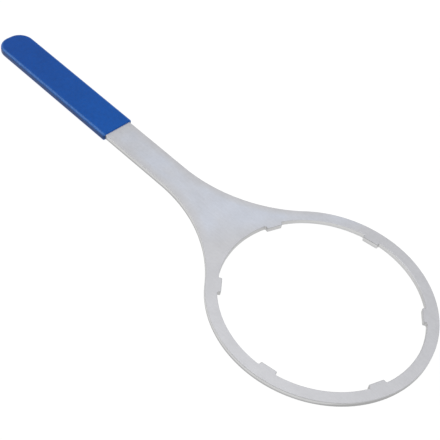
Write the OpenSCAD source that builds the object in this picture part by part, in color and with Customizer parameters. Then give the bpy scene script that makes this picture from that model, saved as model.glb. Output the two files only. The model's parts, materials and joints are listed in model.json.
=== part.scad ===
// Filter housing wrench: a flat steel ring spanner with inner lugs, and a vinyl grip on its bar.
// Lengths are in millimetres and angles in degrees.
// The origin is the centre of the ring at half the plate's thickness.
// The bar runs along +X, and the ring's axis is +Z.

/* [Plate] */
// Thickness of the steel plate
plate_t = 5; // [3:0.5:8]
// Size of the 45 degree break on the plate's edges
edge_break = 0.5; // [0.2:0.1:0.8]

/* [Ring] */
// Outer diameter of the ring
ring_od = 200; // [180:1:240]
// Radial width of the ring between the lugs
ring_w = 10.5; // [8:0.5:20]

/* [Lugs] */
// Number of lugs, evenly spaced
lug_count = 6; // [3:1:8]
// Angle from the bar to the first lug
lug_angle = 40.5; // [0:0.5:60]
// Width of a lug between its flanks
lug_w = 15; // [8:0.5:22]
// Height of a lug above the bore
lug_h = 3.6; // [3.2:0.1:8]
// Radius of a lug's two tip corners
lug_tip_r = 1; // [0.9:0.1:1.5]
// Radius of the fillets where a lug meets the bore
lug_root_r = 1.5; // [0.5:0.1:1.8]

/* [Bar] */
// Width of the bar
bar_w = 30; // [22:1:40]
// Distance from the ring's centre to the start of the bar's straight sides
neck_end = 181.9; // [150:0.1:230]
// Distance from the ring's centre to the end of the bar
bar_end = 417.5; // [360:0.5:480]
// Radius of the bar's two end corners, limited by the bar's width
bar_corner_r = 12.5; // [4:0.5:14]

/* [Grip] */
// Length of bar that the grip covers
grip_cover = 160; // [100:1:220]
// Thickness of the vinyl on the bar's two faces
grip_face_t = 1.5; // [1:0.1:3]
// Thickness of the vinyl on the bar's sides and end
grip_side_t = 2.5; // [1.5:0.1:4]
// Radius of the grip's long edges
grip_edge_r = 2.5; // [1:0.1:3]

/* [Hidden] */
$fa = 2;
$fs = 0.3;

// How far a cutting shape runs past the surface that it cuts
cut_over = 1;
// Step to which the centre of a lug's root fillets is rounded, towards the ring's centre
root_step = 0.02;
// How far the ring and the bar lap into the neck, along the bar
seam_lap = 2;
// Least width of the bar's end that stays straight between its corners
least_end_w = 2;

ring_r = ring_od / 2;
bore_r = ring_r - ring_w;
bar_half_w = bar_w / 2;
end_corner_r = min(bar_corner_r, (bar_w - least_end_w) / 2);

// The neck's sides are arcs, tangent to the ring and to the straight sides of the bar
flare_r = (neck_end ^ 2 + bar_half_w ^ 2 - ring_r ^ 2) / (2 * (ring_r - bar_half_w));
flare_y = bar_half_w + flare_r;

// Centre of a lug's root fillet, which is tangent to the flank and, to within root_step, to the bore
root_y = lug_w / 2 + lug_root_r;
root_x = root_step * floor(sqrt((bore_r - lug_root_r) ^ 2 - root_y ^ 2) / root_step);
lug_tip_x = bore_r - lug_h;
lug_back_x = bore_r + edge_break + 2 * cut_over;
// The lugs shape the bore's cutter, so they stand a little past the plate's faces
lug_over = (lug_tip_r - edge_break) / 2;

plate_half_t = plate_t / 2;
grip_half_t = plate_half_t + grip_face_t;

// Half section of the plate's edge: 0 is inside the plate, and reach is its outermost point.
// With over, the section runs on past the plate's faces along the slope of its broken edges.
module plate_section(reach, over = 0) {
    top_z = plate_half_t + over;
    top_reach = reach - edge_break - over;
    side_z = plate_half_t - edge_break;
    polygon([
        [0, -top_z],
        [top_reach, -top_z],
        [reach, -side_z],
        [reach, side_z],
        [top_reach, top_z],
        [0, top_z]
    ]);
}

// Half section of the grip's edge, with round corners
module grip_section(reach) {
    flat_half_t = grip_half_t - grip_edge_r;
    flat_reach = reach - grip_edge_r;
    polygon([
        [0, -grip_half_t],
        [flat_reach, -grip_half_t],
        [flat_reach, -flat_half_t],
        [reach, -flat_half_t],
        [reach, flat_half_t],
        [flat_reach, flat_half_t],
        [flat_reach, grip_half_t],
        [0, grip_half_t]
    ]);
    for (side = [0, 1])
        mirror([0, side])
            translate([flat_reach, flat_half_t])
                intersection() {
                    circle(grip_edge_r);
                    square(2 * grip_edge_r);
                }
}

// Flat bar from x = start to x = end with two round corners at the end.
// The child is its edge section, with corner_r as its reach.
module round_ended_bar(start, end, half_w, half_t, corner_r) {
    corner_x = end - corner_r;
    corner_y = half_w - corner_r;
    translate([start, -corner_y, -half_t])
        cube([corner_x - start, 2 * corner_y, 2 * half_t]);
    translate([corner_x, corner_y, 0])
        rotate([90, 0, 0])
            linear_extrude(2 * corner_y)
                children();
    for (side = [0, 1])
        mirror([0, side, 0]) {
            translate([start, corner_y, 0])
                rotate([90, 0, 90])
                    linear_extrude(corner_x - start)
                        children();
            translate([corner_x, corner_y, 0])
                rotate_extrude(angle = 90)
                    children();
        }
}

// Round cut through the plate that leaves broken edges on both faces
module round_cut(r) {
    over_r = r + edge_break + cut_over;
    over_z = plate_half_t + cut_over;
    side_z = plate_half_t - edge_break;
    rotate_extrude()
        polygon([
            [0, -over_z],
            [over_r, -over_z],
            [r, -side_z],
            [r, side_z],
            [over_r, over_z],
            [0, over_z]
        ]);
}

// One lug that points at the ring's centre, run on past the bore into the ring
module lug() {
    half_t = plate_half_t + lug_over;
    rotate(180)
        round_ended_bar(-root_x, -lug_tip_x, lug_w / 2, half_t, lug_tip_r)
            plate_section(lug_tip_r, lug_over);
    difference() {
        translate([root_x, -root_y, -half_t])
            cube([lug_back_x - root_x, 2 * root_y, 2 * half_t]);
        for (side = [-1, 1])
            translate([root_x, side * root_y, 0])
                round_cut(lug_root_r);
    }
}

// Bore with the lugs left standing in it
module lugged_bore() {
    difference() {
        round_cut(bore_r);
        for (i = [0 : lug_count - 1])
            rotate(lug_angle + i * 360 / lug_count)
                lug();
    }
}

// Wedge between the ring's centre and the centres of the two neck arcs
module neck_wedge(thickness) {
    linear_extrude(thickness, center = true)
        polygon([[0, 0], [neck_end, -flare_y], [neck_end, flare_y]]);
}

// Disc of the ring, open over the neck but for the laps
module ring() {
    difference() {
        rotate_extrude()
            plate_section(ring_r);
        translate([seam_lap, 0, 0])
            neck_wedge(plate_t + 2 * cut_over);
    }
}

// Web that narrows from the ring to the bar
module neck() {
    difference() {
        neck_wedge(plate_t);
        for (side = [-1, 1])
            translate([neck_end, side * flare_y, 0])
                round_cut(flare_r);
    }
}

// Straight bar, which laps into the neck and runs on inside the grip
module bar() {
    round_ended_bar(neck_end - seam_lap, bar_end, bar_half_w, plate_half_t, end_corner_r)
        plate_section(end_corner_r);
}

module wrench_plate() {
    color([0.78, 0.79, 0.81])
        difference() {
            union() {
                ring();
                neck();
                bar();
            }
            lugged_bore();
        }
}

module vinyl_grip() {
    corner_r = end_corner_r + grip_side_t;
    color([0.15, 0.34, 0.63])
        difference() {
            round_ended_bar(
                bar_end - grip_cover,
                bar_end + grip_side_t,
                bar_half_w + grip_side_t,
                grip_half_t,
                corner_r
            )
                grip_section(corner_r);
            bar();
        }
}

wrench_plate();
vinyl_grip();
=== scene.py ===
"""Looks of a filter housing wrench: a zinc plated ring spanner with a dipped vinyl grip.

Lengths are in metres and angles in radians, unless a name says otherwise.
A point of an outline is a complex number, x + iy.
"""

import cmath
import json
import math

import bmesh
import bpy
from mathutils import Matrix, Vector


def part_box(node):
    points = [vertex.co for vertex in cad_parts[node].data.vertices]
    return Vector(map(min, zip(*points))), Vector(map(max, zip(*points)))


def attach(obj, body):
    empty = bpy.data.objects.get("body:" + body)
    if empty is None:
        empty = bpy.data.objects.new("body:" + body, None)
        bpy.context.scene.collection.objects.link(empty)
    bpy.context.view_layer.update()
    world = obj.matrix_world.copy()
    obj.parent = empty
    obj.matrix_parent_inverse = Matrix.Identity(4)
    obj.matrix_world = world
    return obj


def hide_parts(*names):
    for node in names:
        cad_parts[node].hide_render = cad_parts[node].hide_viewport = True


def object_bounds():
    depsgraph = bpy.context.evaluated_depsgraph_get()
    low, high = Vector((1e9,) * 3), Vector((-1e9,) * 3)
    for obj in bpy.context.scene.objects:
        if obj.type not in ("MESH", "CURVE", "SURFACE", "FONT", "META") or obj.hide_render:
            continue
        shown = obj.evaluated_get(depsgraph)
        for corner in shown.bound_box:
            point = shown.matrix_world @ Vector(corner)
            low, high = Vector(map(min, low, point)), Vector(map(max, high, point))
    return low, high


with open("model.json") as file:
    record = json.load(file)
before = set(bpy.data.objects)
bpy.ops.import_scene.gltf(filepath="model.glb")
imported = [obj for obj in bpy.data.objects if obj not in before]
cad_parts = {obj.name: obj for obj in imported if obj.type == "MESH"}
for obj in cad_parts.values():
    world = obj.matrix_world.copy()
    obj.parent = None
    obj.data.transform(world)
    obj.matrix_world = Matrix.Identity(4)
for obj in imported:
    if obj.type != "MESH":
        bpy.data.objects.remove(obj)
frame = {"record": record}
cad_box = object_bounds()

MM = 0.001

# Sizes of the steel plate
plate_low, plate_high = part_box("wrench_plate")
mounts = {mount["name"]: mount for mount in frame["record"]["mounts"]}
opening = mounts["ring_opening"]["dims"]
PLATE_HALF_T = plate_high.z
RING_R = -plate_low.x
BORE_R = opening["r_mm"] * MM
LUG_COUNT = opening["count"]
LUG_ANGLE = math.radians(40.5)
LUG_HALF_W = 7.5 * MM
LUG_H = 3.6 * MM
LUG_TIP_R = 1.0 * MM
LUG_ROOT_R = 1.5 * MM
BAR_HALF_W = 15 * MM
BAR_END = plate_high.x
BAR_CORNER_R = 12.5 * MM
NECK_END = 181.9 * MM
# The neck's sides are arcs, tangent to the ring and to the bar
FLARE_R = (NECK_END**2 + BAR_HALF_W**2 - RING_R**2) / (2 * (RING_R - BAR_HALF_W))
# The edges are rounded, and a margin along them has its own row of quads.
# The margin is less than the radius of the lugs' tips, so that the row doesn't fold there.
PLATE_EDGE_R = 0.5 * MM
PLATE_MARGIN = 0.8 * MM

# Sizes of the vinyl grip
grip_low, grip_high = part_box("vinyl_grip")
GRIP_MOUTH = grip_low.x
GRIP_END = grip_high.x
GRIP_HALF_W = grip_high.y
GRIP_HALF_T = grip_high.z
GRIP_CORNER_R = BAR_CORNER_R + GRIP_HALF_W - BAR_HALF_W
GRIP_EDGE_R = 2.5 * MM
GRIP_MARGIN = 3.5 * MM
MOUTH_EDGE_R = 1.2 * MM
MOUTH_MARGIN = 1.6 * MM

# Fineness of the meshes
ARC_STEP = 1.4 * MM
LEAST_ARC_STEPS = 6
PLATE_EDGE_STEPS = 5
GRIP_EDGE_STEPS = 10
MOUTH_STEPS = 6
SHARP_ANGLE = math.radians(35)

# Colours in linear light
STEEL_COOL = (0.733, 0.762, 0.833, 1)
STEEL_PLAIN = (0.70, 0.70, 0.72, 1)
# Edge colours: worn outer edges that also carry painted light and shade, and painted shade on the edges
# of the lugs and the bore's ends
STEEL_EDGE_WEAR_AND_LIGHT = (0.65, 0.65, 0.65, 1)
STEEL_EDGE_SHADE = (0.40, 0.40, 0.40, 1)
# Wall colours: plain, and torn with painted shade
STEEL_WALL = (0.65, 0.65, 0.65, 1)
STEEL_TORN_AND_SHADE = (0.40, 0.40, 0.40, 1)
VINYL_PALE = (0.0008, 0.092, 0.425, 1)
VINYL_DEEP = (0.0005, 0.067, 0.345, 1)
# Painted shade on the grip's sides
VINYL_SIDE_SHADE = (0.0010, 0.040, 0.170, 1)
# Painted highlight along the grip's rounded edges
VINYL_EDGE_HIGHLIGHT = (0.09, 0.235, 0.57, 1)
FLOOR_BASE = (0.10, 0.10, 0.10)
WHITE = (1, 1, 1, 1)
SKY_COOL = (0.975, 0.982, 1.0, 1)

# Noise: the part of its range that is spread over a shade, and its usual detail
NOISE_RANGE = (0.3, 0.7)
NOISE_DETAIL = 3

# Patterns of the steel, by their blotches to a metre
MOTTLE_SCALE = 380
MOTTLE_DETAIL = 5
CLOUD_SCALE = 70
GRAIN_STRETCH = (60, 1500, 1500)
GRAIN_DETAIL = 4
STREAK_STRETCH = (900, 900, 60)

# Finish of the steel
MOTTLE_SHADE = (0.955, 1.01)
CLOUD_SHADE = (0.96, 1.015)
GRAIN_SHADE = (0.965, 1.02)
STEEL_ROUGHNESS = (0.40, 0.50)
WORN_ROUGHNESS = 0.2
GRAIN_BUMP = 8e-6
MOTTLE_BUMP = 6e-6
STREAK_BUMP = 15e-6
# How patchy the edges' wear and their painted light and shade are
EDGE_PATCHINESS = (0.6, 1)
# Leans between which a rounded edge takes on the colour of the wall
WALL_LEAN = (0.5, 1)

# Tint of the plate: it turns cool between these depths inside the edges of its neck and bar
COOL_DEPTH = (2 * MM, 9 * MM)
# It does so between these places along the neck, which slant across it
COOL_START = (82 * MM, 112 * MM)
COOL_SLANT = 0.6
# It turns back just before the grip, and drifts over the whole plate
COOL_END = (GRIP_MOUTH - 14 * MM, GRIP_MOUTH - 3 * MM)
DRIFT_SCALE = 28
DRIFT = (0.3, 1.3)

# Tearing of the cut walls, which also paints shade towards their foot: it starts below the first
# height, and is full below the second
TORN_AND_SHADE_HEIGHT = (0.6 * MM, -1.7 * MM)
# The torn and shaded band climbs by this much between these places along the plate, towards the end of
# the ring
TORN_AND_SHADE_LIFT = 4 * MM
TORN_AND_SHADE_RISE = (-60 * MM, -95 * MM)
# Its strength on the bore's wall, against 1 on the outer wall
BORE_TORN_AND_SHADE = 0.25
# Radii from the bore to the ring's outer edge, from a lug to the bore, and just past the bore
RING_SPAN = (BORE_R, RING_R)
LUG_REACH = (BORE_R - 1.5 * MM, BORE_R)
BORE_REACH = (BORE_R, BORE_R + 1 * MM)
# A lug's flank is painted in shade this much from top to bottom
FLANK_SHADE = 0.6
# A wall turns into a flank as the part of its normal along the radius falls between these values
FLANK_TURN = (0.9, 0.3)
# The bore's two ends, along the bar, are painted in shade this much, on their walls and their edges.
# They start between these places
ENDS_SHADE = 0.45
FAR_END = (-25 * MM, -55 * MM)
NEAR_END = (65 * MM, 85 * MM)

# Finish of the vinyl, with patterns by their blotches to a metre
PEEL_SCALE = 700
PEEL_DETAIL = 2
PEEL_BUMP = 30e-6
HAZE_SCALE = 260
HAZE_DETAIL = 4
HAZE_SHADE = (0.93, 1.05)
VINYL_CLOUD_SCALE = 45
VINYL_CLOUD_SHADE = (0.93, 1.05)
VINYL_ROUGHNESS = (0.19, 0.27)
VINYL_SPECULAR = 0.22
# Leans between which a rounded edge takes on the painted shade of the side
SIDE_SHADE_LEAN = (0.5, 0.95)
# How strongly the middle of a rounded edge is painted with a highlight, and how narrow the painted
# highlight is
EDGE_HIGHLIGHT_STRENGTH = (0.5, 0.8)
HIGHLIGHT_SHARPNESS = 2

# Floor
FLOOR_HALF = 6.0
FLOOR_GAP = 0.1 * MM
FLOOR_GLOW = 0.95
FLOOR_SCALE = 2
FLOOR_TONE = (0.97, 1.0)
FLOOR_ROUGHNESS = 0.9
FLOOR_SPECULAR = 0.1

# Lights
SKY_FRONT = 0.445
SKY_BACK = 0.79
BACKWARDS = Vector((-0.60, -0.75, 0.30))
OVERHEAD_AT = Vector((0.36, -0.30, 1.3))
OVERHEAD_AIM = Vector((0.36, -0.30, 0))
OVERHEAD_SIZE = (1.0, 1.0)
OVERHEAD_RADIANCE = 0.63
EDGE_LIGHT_AT = Vector((1.18, 0.64, 0.93))
EDGE_LIGHT_AIM = Vector((0.33, 0, 0))
EDGE_LIGHT_SIZE = (0.9, 1.4)
EDGE_LIGHT_RADIANCE = 1.2

# Camera, as fitted to the object's outline in the photograph
CAMERA_AT = Vector((-0.23265, 0.50406, 0.66028))
CAMERA_AIM = Vector((0.11829, 0.00331, 0))
CAMERA_ROLL = math.radians(12.76)
CAMERA_LENS_MM = 83.59
CAMERA_SENSOR_MM = 36


# Outlines

def arc(centre, radius, offset, start, end):
    """Points of an arc with its radius plus offset. Their number depends on the radius alone."""
    steps = max(LEAST_ARC_STEPS, round(radius * abs(end - start) / ARC_STEP))
    turn = (end - start) / steps
    return [centre + cmath.rect(radius + offset, start + turn * i) for i in range(steps + 1)]


def mirrored(points):
    """The same points on the other side of the bar's axis, in reverse."""
    return [point.conjugate() for point in reversed(points)]


def plate_outline(inset):
    """The plate's outer edge, moved into the plate by inset, anticlockwise from the end of the bar."""
    corner = complex(BAR_END - BAR_CORNER_R, BAR_HALF_W - BAR_CORNER_R)
    flare = complex(NECK_END, BAR_HALF_W + FLARE_R)
    lean = cmath.phase(flare)
    half = arc(corner, BAR_CORNER_R, -inset, 0, math.pi / 2)
    half += arc(flare, FLARE_R, inset, -math.pi / 2, lean - math.pi)
    half += arc(0, RING_R, -inset, lean, math.pi)[1:]
    return half + mirrored(half[:-1])


def bore_outline(inset):
    """The bore's edge with its lugs, moved into the plate by inset, anticlockwise."""
    tip = complex(BORE_R - LUG_H + LUG_TIP_R, LUG_HALF_W - LUG_TIP_R)
    root_y = LUG_HALF_W + LUG_ROOT_R
    root = complex(math.sqrt((BORE_R - LUG_ROOT_R) ** 2 - root_y**2), root_y)
    spread = cmath.phase(root)
    pitch = math.tau / LUG_COUNT
    half_lug = arc(tip, LUG_TIP_R, -inset, math.pi, math.pi / 2)
    half_lug += arc(root, LUG_ROOT_R, inset, -math.pi / 2, spread)
    gap = arc(0, BORE_R, inset, spread, pitch - spread)[1:-1]
    sector = mirrored(half_lug) + half_lug + gap
    turns = [cmath.rect(1, LUG_ANGLE + i * pitch) for i in range(LUG_COUNT)]
    return [point * turn for turn in turns for point in sector]


def slab_path(inset, mouth, end, half_w, corner_r):
    """Edge of a round-ended slab, moved into it by inset, from one side of its mouth to the other."""
    corner = complex(end - corner_r, half_w - corner_r)
    half = [complex(mouth, half_w - inset)]
    half += arc(corner, corner_r, -inset, math.pi / 2, 0)
    return half + mirrored(half)


def edge_stations(half_t, radius, margin, steps):
    """Stations over a slab's rounded edge, from its top face to its underside: inset, height and lean.

    The lean rises from 0 on a face, at the margin from the edge, to 1 on the side at the same margin.
    """
    top = [(margin, half_t, 0)]
    for i in range(steps + 1):
        angle = math.pi / 2 * i / steps
        inset = radius * (1 - math.sin(angle))
        height = half_t - radius * (1 - math.cos(angle))
        top.append((inset, height, (i + 1) / (steps + 2)))
    top.append((0, half_t - margin, 1))
    return top + [(inset, -height, lean) for inset, height, lean in reversed(top)]


# Meshes

def loft(bm, rows, closed):
    """Quads between each row of vertices and the next."""
    count = len(rows[0])
    for row, after in zip(rows, rows[1:]):
        for i in range(count if closed else count - 1):
            j = (i + 1) % count
            bm.faces.new((row[i], after[i], after[j], row[j]))


def fill(bm, *loops):
    """Flat surface inside the first loop of vertices and outside the others."""
    edges = []
    for loop in loops:
        for a, b in zip(loop, loop[1:] + loop[:1]):
            edges.append(bm.edges.get((a, b)) or bm.edges.new((a, b)))
    bmesh.ops.triangle_fill(bm, edges=edges, use_beauty=True)


def new_vertex(bm, place, lean):
    """A vertex that holds how far the surface leans there: 0 on a face and 1 on a side."""
    vertex = bm.verts.new(place)
    vertex[bm.verts.layers.float["lean"]] = lean
    return vertex


def edge_rows(bm, outline, stations):
    """A row of vertices for each station, along the outline at its inset."""
    rows = []
    for inset, height, lean in stations:
        places = [(point.real, point.imag, height) for point in outline(inset)]
        rows.append([new_vertex(bm, place, lean) for place in places])
    return rows


def new_bmesh():
    """An empty mesh with room for each vertex's lean."""
    bm = bmesh.new()
    bm.verts.layers.float.new("lean")
    return bm


def as_piece(bm, name, node, material):
    """Turns the mesh into a piece that stands for a CAD node."""
    bmesh.ops.recalc_face_normals(bm, faces=bm.faces)
    mesh = bpy.data.meshes.new(name)
    bm.to_mesh(mesh)
    bm.free()
    mesh.shade_smooth()
    mesh.set_sharp_from_angle(angle=SHARP_ANGLE)
    mesh.materials.append(material)
    piece = bpy.data.objects.new(name, mesh)
    bpy.context.scene.collection.objects.link(piece)
    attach(piece, "root")
    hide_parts(node)


def build_plate(material):
    """The plate, with rounded edges round its outside and round the lugged bore."""
    bm = new_bmesh()
    stations = edge_stations(PLATE_HALF_T, PLATE_EDGE_R, PLATE_MARGIN, PLATE_EDGE_STEPS)
    outer = edge_rows(bm, plate_outline, stations)
    bore = edge_rows(bm, bore_outline, stations)
    loft(bm, outer, closed=True)
    loft(bm, bore, closed=True)
    fill(bm, outer[0], bore[0])
    fill(bm, outer[-1], bore[-1])
    as_piece(bm, "steel_plate", "wrench_plate", material)


def build_slab(bm, mouth, end, half_w, corner_r, stations):
    """A round-ended slab, open at its mouth. Returns the loop of vertices round the mouth."""
    def outline(inset):
        return slab_path(inset, mouth, end, half_w, corner_r)

    rows = edge_rows(bm, outline, stations)
    loft(bm, rows, closed=False)
    fill(bm, rows[0])
    fill(bm, rows[-1])
    return [row[0] for row in rows] + [row[-1] for row in reversed(rows)]


def mouth_loop(bm, x, shrink):
    """A loop of vertices round the grip's section at x, moved into the vinyl by shrink."""
    stations = edge_stations(
        GRIP_HALF_T - shrink, GRIP_EDGE_R - shrink, GRIP_MARGIN - shrink, GRIP_EDGE_STEPS
    )
    half = [(GRIP_HALF_W - shrink - inset, height, lean) for inset, height, lean in stations]
    whole = half + [(-y, height, lean) for y, height, lean in reversed(half)]
    return [new_vertex(bm, (x, y, height), lean) for y, height, lean in whole]


def build_grip(material):
    """The grip: a sleeve with one closed end, round edges and a pocket that fits the bar."""
    bm = new_bmesh()
    stations = edge_stations(GRIP_HALF_T, GRIP_EDGE_R, GRIP_MARGIN, GRIP_EDGE_STEPS)
    lip = GRIP_MOUTH + MOUTH_MARGIN
    loops = [build_slab(bm, lip, GRIP_END, GRIP_HALF_W, GRIP_CORNER_R, stations)]
    for i in range(MOUTH_STEPS + 1):
        angle = math.pi / 2 * i / MOUTH_STEPS
        x = GRIP_MOUTH + MOUTH_EDGE_R * (1 - math.sin(angle))
        loops.append(mouth_loop(bm, x, MOUTH_EDGE_R * (1 - math.cos(angle))))
    loft(bm, loops, closed=True)
    stations = edge_stations(PLATE_HALF_T, PLATE_EDGE_R, PLATE_MARGIN, PLATE_EDGE_STEPS)
    pocket = build_slab(bm, GRIP_MOUTH, BAR_END, BAR_HALF_W, BAR_CORNER_R, stations)
    fill(bm, loops[-1], pocket)
    as_piece(bm, "dipped_grip", "vinyl_grip", material)


# Materials

class Finish:
    """A material under construction: its nodes are added one at a time and linked as they come."""

    def __init__(self, name):
        self.material = bpy.data.materials.new(name)
        self.material.use_nodes = True
        self.tree = self.material.node_tree
        self.shader = self.tree.nodes["Principled BSDF"]

    def put(self, socket, value):
        """Links a socket to another node's output, or sets its own value."""
        if isinstance(value, bpy.types.NodeSocket):
            self.tree.links.new(value, socket)
        else:
            socket.default_value = value

    def add(self, kind, inputs, **settings):
        """A new node with those settings, and inputs by name or number."""
        node = self.tree.nodes.new(kind)
        for name, value in settings.items():
            setattr(node, name, value)
        for key, value in inputs.items():
            self.put(node.inputs[key], value)
        return node

    def place(self):
        """Where a point of the surface lies in the object's frame."""
        return self.add("ShaderNodeTexCoord", {}).outputs["Object"]

    def parts(self, place):
        """A place's x, y and z."""
        return self.add("ShaderNodeSeparateXYZ", {0: place}).outputs

    def point(self, x, y):
        """The place x, y at height 0."""
        return self.add("ShaderNodeCombineXYZ", {0: x, 1: y}).outputs[0]

    def vector(self, operation, *values):
        """The node of a vector operation on one or two values."""
        return self.add("ShaderNodeVectorMath", dict(enumerate(values)), operation=operation)

    def distance(self, x, y):
        """How far the point x, y is from 0, 0."""
        return self.vector("LENGTH", self.point(x, y)).outputs["Value"]

    def stretched(self, place, scales):
        """A place multiplied along each axis, to draw a pattern out along the smallest scale."""
        return self.vector("MULTIPLY", place, scales).outputs[0]

    def noise(self, place, scale=1, detail=NOISE_DETAIL):
        """Soft noise from 0 to 1 with scale blotches to a metre."""
        inputs = {"Vector": place, "Scale": scale, "Detail": detail}
        return self.add("ShaderNodeTexNoise", inputs).outputs[0]

    def span(self, value, ends, to=(0, 1)):
        """Maps value from between two ends onto the range to, and holds it there."""
        return self.add("ShaderNodeMapRange", dict(enumerate((value, *ends, *to)))).outputs[0]

    def spread(self, noise, to):
        """Maps noise onto the range to."""
        return self.span(noise, NOISE_RANGE, to)

    def math(self, operation, *values):
        """The result of an arithmetic operation on one or two values."""
        return self.add("ShaderNodeMath", dict(enumerate(values)), operation=operation).outputs[0]

    def product(self, first, *others):
        """Values multiplied together."""
        for other in others:
            first = self.math("MULTIPLY", first, other)
        return first

    def largest(self, first, *others):
        """The largest of some values."""
        for other in others:
            first = self.math("MAXIMUM", first, other)
        return first

    def average(self, first, second):
        """The value half-way between two."""
        return self.product(self.math("ADD", first, second), 0.5)

    def rest(self, share):
        """What a share leaves of 1."""
        return self.math("SUBTRACT", 1, share)

    def halfway(self, lean):
        """1 where a rounded edge leans half-way, and 0 on its face and its side."""
        return self.product(lean, self.rest(lean), 4)

    def mix(self, share, first, second):
        """The first colour where share is 0, and the second where it is 1."""
        return self.add("ShaderNodeMix", {0: share, 6: first, 7: second}, data_type="RGBA").outputs[2]

    def attribute(self, name):
        """A number that the mesh holds at its vertices."""
        return self.add("ShaderNodeAttribute", {}, attribute_name=name).outputs["Fac"]

    def shaded(self, colour, shade):
        """A colour made lighter or darker by a factor."""
        inputs = {0: colour, "Scale": shade}
        return self.add("ShaderNodeVectorMath", inputs, operation="SCALE").outputs[0]

    def bump(self, height, distance, under=None):
        """Normals of a surface raised by height times distance, on top of the bump given as under."""
        inputs = {"Height": height, "Strength": 1, "Distance": distance}
        if under is not None:
            inputs["Normal"] = under
        return self.add("ShaderNodeBump", inputs).outputs[0]

    def finish(self, **inputs):
        """Sets the shader's inputs, whose names have _ for a space, and gives the material."""
        for name, value in inputs.items():
            self.put(self.shader.inputs[name.replace("_", " ")], value)
        return self.material


def cool_share(steel, place, x, y):
    """How cool the plate's tint is: most along the middle of the neck and the bar."""
    along = steel.math("MINIMUM", steel.math("SUBTRACT", x, NECK_END), 0)
    across = steel.math("SUBTRACT", BAR_HALF_W + FLARE_R, steel.math("ABSOLUTE", y))
    depth = steel.math("SUBTRACT", steel.distance(along, across), FLARE_R)
    slanted = steel.math("SUBTRACT", x, steel.product(y, COOL_SLANT))
    drift = steel.spread(steel.noise(place, DRIFT_SCALE), DRIFT)
    return steel.product(
        steel.span(depth, COOL_DEPTH),
        steel.span(x, COOL_END, (1, 0)),
        steel.span(slanted, COOL_START),
        drift,
    )


def flank_share(steel, x, y):
    """How far a wall is a lug's flank: 1 where it faces along the ring, and 0 across it."""
    facing = steel.add("ShaderNodeNewGeometry", {}).outputs["Normal"]
    radial = steel.vector("NORMALIZE", steel.point(x, y)).outputs[0]
    turn = steel.vector("DOT_PRODUCT", facing, radial).outputs["Value"]
    return steel.span(steel.math("ABSOLUTE", turn), FLANK_TURN)


def torn_and_shade_share(steel, x, z, radius, flank, ends):
    """How torn and painted in shade a cut wall is: a torn band with painted shade towards its foot, and
    painted shade on the lugs' flanks and at the bore's two ends.
    """
    lift = steel.span(x, TORN_AND_SHADE_RISE, (0, TORN_AND_SHADE_LIFT))
    foot = steel.span(steel.math("SUBTRACT", z, lift), TORN_AND_SHADE_HEIGHT)
    foot = steel.product(foot, steel.span(radius, RING_SPAN, (BORE_TORN_AND_SHADE, 1)))
    return steel.largest(foot, steel.product(flank, FLANK_SHADE), steel.product(ends, ENDS_SHADE))


def plated_steel():
    """Satin zinc plate: a tint that cools inside the edges, a fine rolling grain, torn cut walls with
    painted shade towards their foot, on the lugs' flanks and at the bore's ends, worn outer edges that
    also carry painted light and shade, and painted shade on the edges of the lugs and the bore's ends.
    """
    steel = Finish("satin_zinc")
    place = steel.place()
    x, y, z = steel.parts(place)
    mottle = steel.noise(place, MOTTLE_SCALE, MOTTLE_DETAIL)
    cloud = steel.noise(place, CLOUD_SCALE)
    grain = steel.noise(steel.stretched(place, GRAIN_STRETCH), detail=GRAIN_DETAIL)
    streaks = steel.noise(steel.stretched(place, STREAK_STRETCH))

    radius = steel.distance(x, y)
    outer = steel.span(radius, RING_SPAN)
    bore = steel.span(radius, BORE_REACH, (1, 0))
    flank = steel.product(bore, flank_share(steel, x, y))
    ends = steel.product(bore, steel.largest(steel.span(x, FAR_END), steel.span(x, NEAR_END)))
    # Where edges are painted in shade: the lugs and the bore's ends
    edge_shade_share = steel.largest(ends, steel.span(radius, LUG_REACH, (1, 0)))
    # Torn walls, with painted shade towards their foot, on the lugs' flanks and at the bore's ends
    torn_and_shade = torn_and_shade_share(steel, x, z, radius, flank, ends)
    lean = steel.attribute("lean")
    wall = steel.span(lean, WALL_LEAN)
    # Edge wear; its colour also paints light and shade along the outer edges, and shade on the edges of
    # the lugs and the bore's ends
    edge_wear_and_light = steel.product(steel.halfway(lean), steel.largest(edge_shade_share, outer), steel.rest(torn_and_shade))
    edge_wear_and_light = steel.product(edge_wear_and_light, steel.spread(mottle, EDGE_PATCHINESS))

    colour = steel.mix(cool_share(steel, place, x, y), STEEL_PLAIN, STEEL_COOL)
    colour = steel.mix(wall, colour, steel.mix(torn_and_shade, STEEL_WALL, STEEL_TORN_AND_SHADE))
    colour = steel.mix(edge_wear_and_light, colour, steel.mix(edge_shade_share, STEEL_EDGE_WEAR_AND_LIGHT, STEEL_EDGE_SHADE))
    for pattern, shade in ((mottle, MOTTLE_SHADE), (cloud, CLOUD_SHADE), (grain, GRAIN_SHADE)):
        colour = steel.shaded(colour, steel.spread(pattern, shade))
    roughness = steel.spread(steel.average(mottle, grain), STEEL_ROUGHNESS)
    roughness = steel.math("ADD", roughness, steel.product(edge_wear_and_light, WORN_ROUGHNESS))
    surface = steel.bump(grain, GRAIN_BUMP)
    surface = steel.bump(mottle, MOTTLE_BUMP, under=surface)
    surface = steel.bump(steel.product(streaks, wall), STREAK_BUMP, under=surface)
    return steel.finish(Base_Color=colour, Metallic=1.0, Roughness=roughness, Normal=surface)


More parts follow.
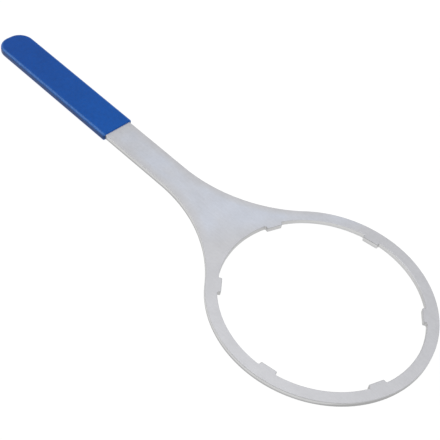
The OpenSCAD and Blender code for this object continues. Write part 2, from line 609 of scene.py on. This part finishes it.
def blue_vinyl():
    """Dipped vinyl: a blue that deepens towards the end, a painted highlight along the rounded edges,
    painted shade on the sides and a faint orange peel.
    """
    vinyl = Finish("dipped_vinyl")
    place = vinyl.place()
    cloud = vinyl.noise(place, VINYL_CLOUD_SCALE)
    haze = vinyl.noise(place, HAZE_SCALE, HAZE_DETAIL)
    peel = vinyl.noise(place, PEEL_SCALE, PEEL_DETAIL)
    along = vinyl.span(vinyl.parts(place)[0], (GRIP_MOUTH, GRIP_END))
    lean = vinyl.attribute("lean")
    # Painted shade on the grip's sides
    side_shade = vinyl.span(lean, SIDE_SHADE_LEAN)
    # Painted highlight along the middle of the rounded edges
    ridge = vinyl.math("POWER", vinyl.halfway(lean), HIGHLIGHT_SHARPNESS)
    edge_highlight = vinyl.product(ridge, vinyl.spread(haze, EDGE_HIGHLIGHT_STRENGTH))

    colour = vinyl.mix(along, VINYL_PALE, VINYL_DEEP)
    colour = vinyl.mix(edge_highlight, colour, VINYL_EDGE_HIGHLIGHT)
    colour = vinyl.mix(side_shade, colour, VINYL_SIDE_SHADE)
    colour = vinyl.shaded(colour, vinyl.spread(cloud, VINYL_CLOUD_SHADE))
    colour = vinyl.shaded(colour, vinyl.spread(haze, HAZE_SHADE))
    return vinyl.finish(
        Base_Color=colour,
        Roughness=vinyl.spread(haze, VINYL_ROUGHNESS),
        Specular_IOR_Level=VINYL_SPECULAR,
        Normal=vinyl.bump(peel, PEEL_BUMP),
    )


def floor_white():
    """A matt floor that glows white, as a light table does. It is clear from below."""
    floor = Finish("floor_white")
    tone = floor.spread(floor.noise(floor.place(), FLOOR_SCALE), FLOOR_TONE)
    behind = floor.add("ShaderNodeNewGeometry", {}).outputs["Backfacing"]
    clear = floor.add("ShaderNodeBsdfTransparent", {}).outputs[0]
    surface = floor.add("ShaderNodeMixShader", {0: behind, 1: floor.shader.outputs[0], 2: clear})
    floor.put(floor.tree.nodes["Material Output"].inputs["Surface"], surface.outputs[0])
    return floor.finish(
        Base_Color=floor.shaded(FLOOR_BASE, tone),
        Roughness=FLOOR_ROUGHNESS,
        Specular_IOR_Level=FLOOR_SPECULAR,
        Emission_Color=WHITE,
        Emission_Strength=FLOOR_GLOW,
    )


# Stage

def add_floor():
    """A plain floor just under the lowest point of the object."""
    level = cad_box[0].z - FLOOR_GAP
    corners = [(-1, -1), (1, -1), (1, 1), (-1, 1)]
    places = [(x * FLOOR_HALF, y * FLOOR_HALF, level) for x, y in corners]
    mesh = bpy.data.meshes.new("floor")
    mesh.from_pydata(places, [], [(0, 1, 2, 3)])
    mesh.materials.append(floor_white())
    floor = bpy.data.objects.new("floor", mesh)
    bpy.context.scene.collection.objects.link(floor)


def add_world():
    """Soft light from all round, weaker from the viewer's side."""
    world = bpy.data.worlds.new("studio")
    world.use_nodes = True
    nodes = world.node_tree.nodes
    links = world.node_tree.links
    background = nodes["Background"]
    background.inputs["Color"].default_value = SKY_COOL
    towards = nodes.new("ShaderNodeVectorMath")
    towards.operation = "DOT_PRODUCT"
    towards.inputs[1].default_value = BACKWARDS.normalized()
    strength = nodes.new("ShaderNodeMapRange")
    for key, value in {1: -1, 2: 1, 3: SKY_FRONT, 4: SKY_BACK}.items():
        strength.inputs[key].default_value = value
    links.new(nodes.new("ShaderNodeTexCoord").outputs["Generated"], towards.inputs[0])
    links.new(towards.outputs["Value"], strength.inputs[0])
    links.new(strength.outputs[0], background.inputs["Strength"])
    bpy.context.scene.world = world


def turned(at, aim):
    """The place of a light or a camera that stands at one point and looks at another."""
    return Matrix.Translation(at) @ (aim - at).to_track_quat("-Z", "Y").to_matrix().to_4x4()


def add_softbox(name, at, aim, size, radiance):
    """A rectangular light at a place, turned to a point, with that radiance over its face."""
    light = bpy.data.lights.new(name, "AREA")
    light.shape = "RECTANGLE"
    light.size, light.size_y = size
    light.energy = radiance * math.pi * size[0] * size[1]
    lamp = bpy.data.objects.new(name, light)
    lamp.matrix_world = turned(at, aim)
    bpy.context.scene.collection.objects.link(lamp)


def add_camera():
    """The photograph's viewpoint."""
    data = bpy.data.cameras.new("camera")
    data.lens = CAMERA_LENS_MM
    data.sensor_width = CAMERA_SENSOR_MM
    camera = bpy.data.objects.new("camera", data)
    camera.matrix_world = turned(CAMERA_AT, CAMERA_AIM) @ Matrix.Rotation(CAMERA_ROLL, 4, "Z")
    bpy.context.scene.collection.objects.link(camera)
    bpy.context.scene.camera = camera


build_plate(plated_steel())
build_grip(blue_vinyl())
add_floor()
add_world()
add_softbox("overhead", OVERHEAD_AT, OVERHEAD_AIM, OVERHEAD_SIZE, OVERHEAD_RADIANCE)
add_softbox("edge_light", EDGE_LIGHT_AT, EDGE_LIGHT_AIM, EDGE_LIGHT_SIZE, EDGE_LIGHT_RADIANCE)
add_camera()
bpy.context.scene.view_settings.view_transform = "Standard"
